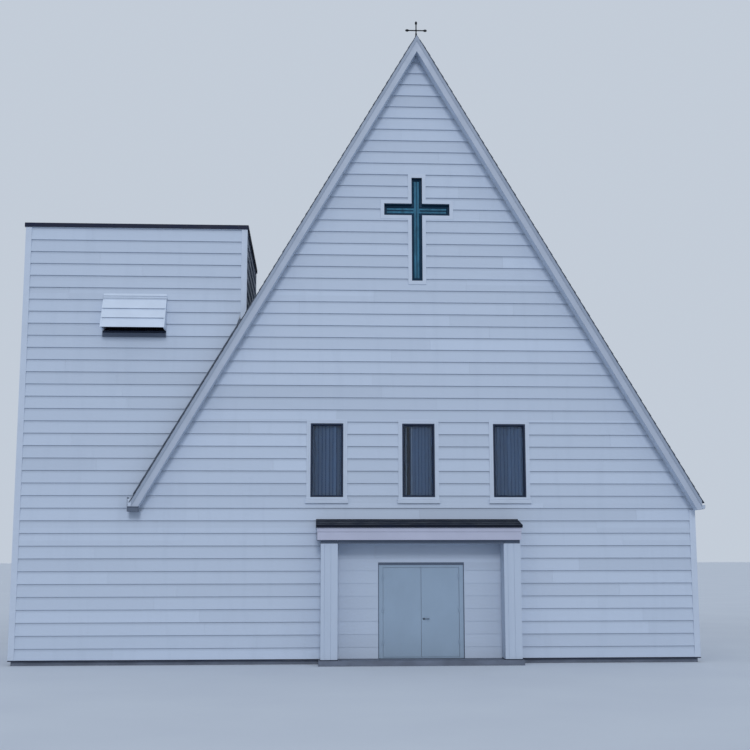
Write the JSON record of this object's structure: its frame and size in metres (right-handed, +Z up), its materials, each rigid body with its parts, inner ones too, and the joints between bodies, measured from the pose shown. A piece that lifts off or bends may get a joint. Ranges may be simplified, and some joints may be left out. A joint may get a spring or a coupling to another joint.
{
  "type": "modern church building",
  "caption": "Timber church with a steep gabled nave, a square flat-roofed bell tower at its front left corner and a low portal with a double door.",
  "frame": {"origin": "middle of the nave in plan, on the underside of the foundation at ground level", "axes": "+Z up, -Y out of the front gable, +X to the right seen from the front, +Y along the nave to its rear"},
  "size_m": [15.0303, 18.9303, 14.539],
  "materials": {
    "painted_boards": "satin white paint on horizontal weatherboards",
    "painted_trim": "satin white paint on planed boards",
    "slate": "split grey slate, laid in courses",
    "black_sheet_metal": "folded sheet, black coating",
    "concrete": "cast concrete",
    "floor_boards": "oiled boards",
    "door_paint": "satin grey-blue paint",
    "window_glass": "clear glass over a dark room",
    "teal_glass": "coloured glass, teal blue",
    "wrought_iron": "forged, black paint",
    "handle_steel": "brushed"
  },
  "bodies": {
    "building": {"foundation": "concrete", "nave_floor": "floor_boards", "front_wall_left": "painted_boards", "front_wall_right": "painted_boards", "front_gable": "painted_boards", "rear_wall": "painted_boards", "side_wall_right": "painted_boards", "side_wall_left": "painted_boards", "roof_right": "slate", "roof_left_rear": "slate", "roof_left_front": "slate", "ridge_cap": "black_sheet_metal", "bargeboard_front_left": "painted_trim", "bargeboard_front_right": "painted_trim", "bargeboard_rear_left": "painted_trim", "bargeboard_rear_right": "painted_trim", "gutter_right": "black_sheet_metal", "gutter_left": "black_sheet_metal", "tower_wall_front": "painted_boards", "tower_wall_left": "painted_boards", "tower_wall_rear": "painted_boards", "tower_wall_right": "painted_boards", "tower_roof": "black_sheet_metal", "tower_louvre": "painted_trim", "window_frame_left": "painted_trim", "window_glass_left": "window_glass", "window_frame_middle": "painted_trim", "window_glass_middle": "window_glass", "window_frame_right": "painted_trim", "window_glass_right": "window_glass", "windows_rear": "painted_trim", "windows_right": "painted_trim", "windows_left": "painted_trim", "cross_window_frame": "black_sheet_metal", "cross_window_glass": "teal_glass", "portal_pier_left": "painted_trim", "portal_pier_right": "painted_trim", "portal_canopy": "painted_trim", "portal_roof": "black_sheet_metal", "door_frame": "door_paint", "ridge_cross": "wrought_iron"},
    "left_leaf": {"door_leaf_left": "door_paint"},
    "right_leaf": {"door_leaf_right": "door_paint", "door_handle": "handle_steel"}
  },
  "joints": [
    {"name": "left_leaf_hinge", "type": "hinge", "parent": "building", "child": "left_leaf", "pos_m": [-0.787, -8.989, 1.1], "axis": [0, 0, -1], "range_deg": [0, 95]},
    {"name": "right_leaf_hinge", "type": "hinge", "parent": "building", "child": "right_leaf", "pos_m": [0.867, -8.989, 1.1], "axis": [0, 0, 1], "range_deg": [0, 95]}
  ]
}
